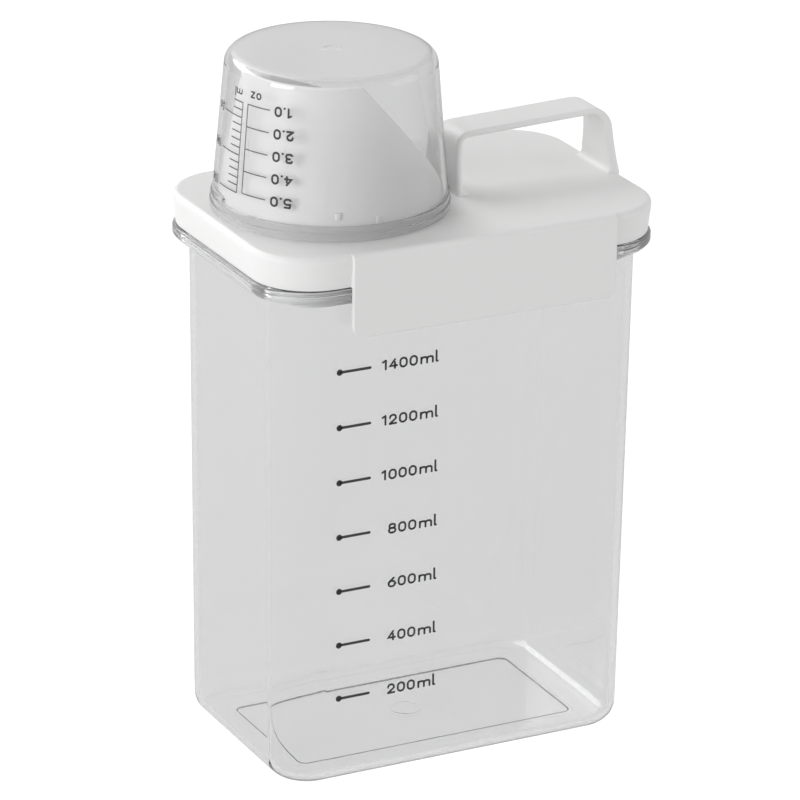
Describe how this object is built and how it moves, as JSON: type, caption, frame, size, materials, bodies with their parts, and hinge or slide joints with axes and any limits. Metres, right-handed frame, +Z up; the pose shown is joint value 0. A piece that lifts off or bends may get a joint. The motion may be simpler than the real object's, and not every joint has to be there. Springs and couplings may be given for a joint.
{
  "type": "laundry detergent dispenser",
  "caption": "Clear drafted container with a white lid that carries a strap handle, a label panel and a slanted pouring spout, and a clear measuring cup over the spout.",
  "frame": {"origin": "middle of the base, on the surface that the container stands on", "axes": "+X along the long side, away from the spout; +Y to the back, away from the label panel; +Z up"},
  "size_m": [0.1454, 0.0986, 0.2433],
  "materials": {
    "clear_body": "clear, polished",
    "white_lid": "satin",
    "gasket": "soft, translucent",
    "clear_cup": "clear, polished"
  },
  "bodies": {
    "container_body": {"container": "clear_body"},
    "lid_body": {"lid": "white_lid", "lid_gasket": "gasket"},
    "cup_body": {"measuring_cup": "clear_cup"}
  },
  "joints": [
    {"name": "lid_lift", "type": "slide", "parent": "container_body", "child": "lid_body", "axis": [0, 0, 1], "range_m": [0, 0.06]},
    {"name": "cup_lift", "type": "slide", "parent": "lid_body", "child": "cup_body", "axis": [0, 0, 1], "range_m": [0, 0.06]}
  ]
}
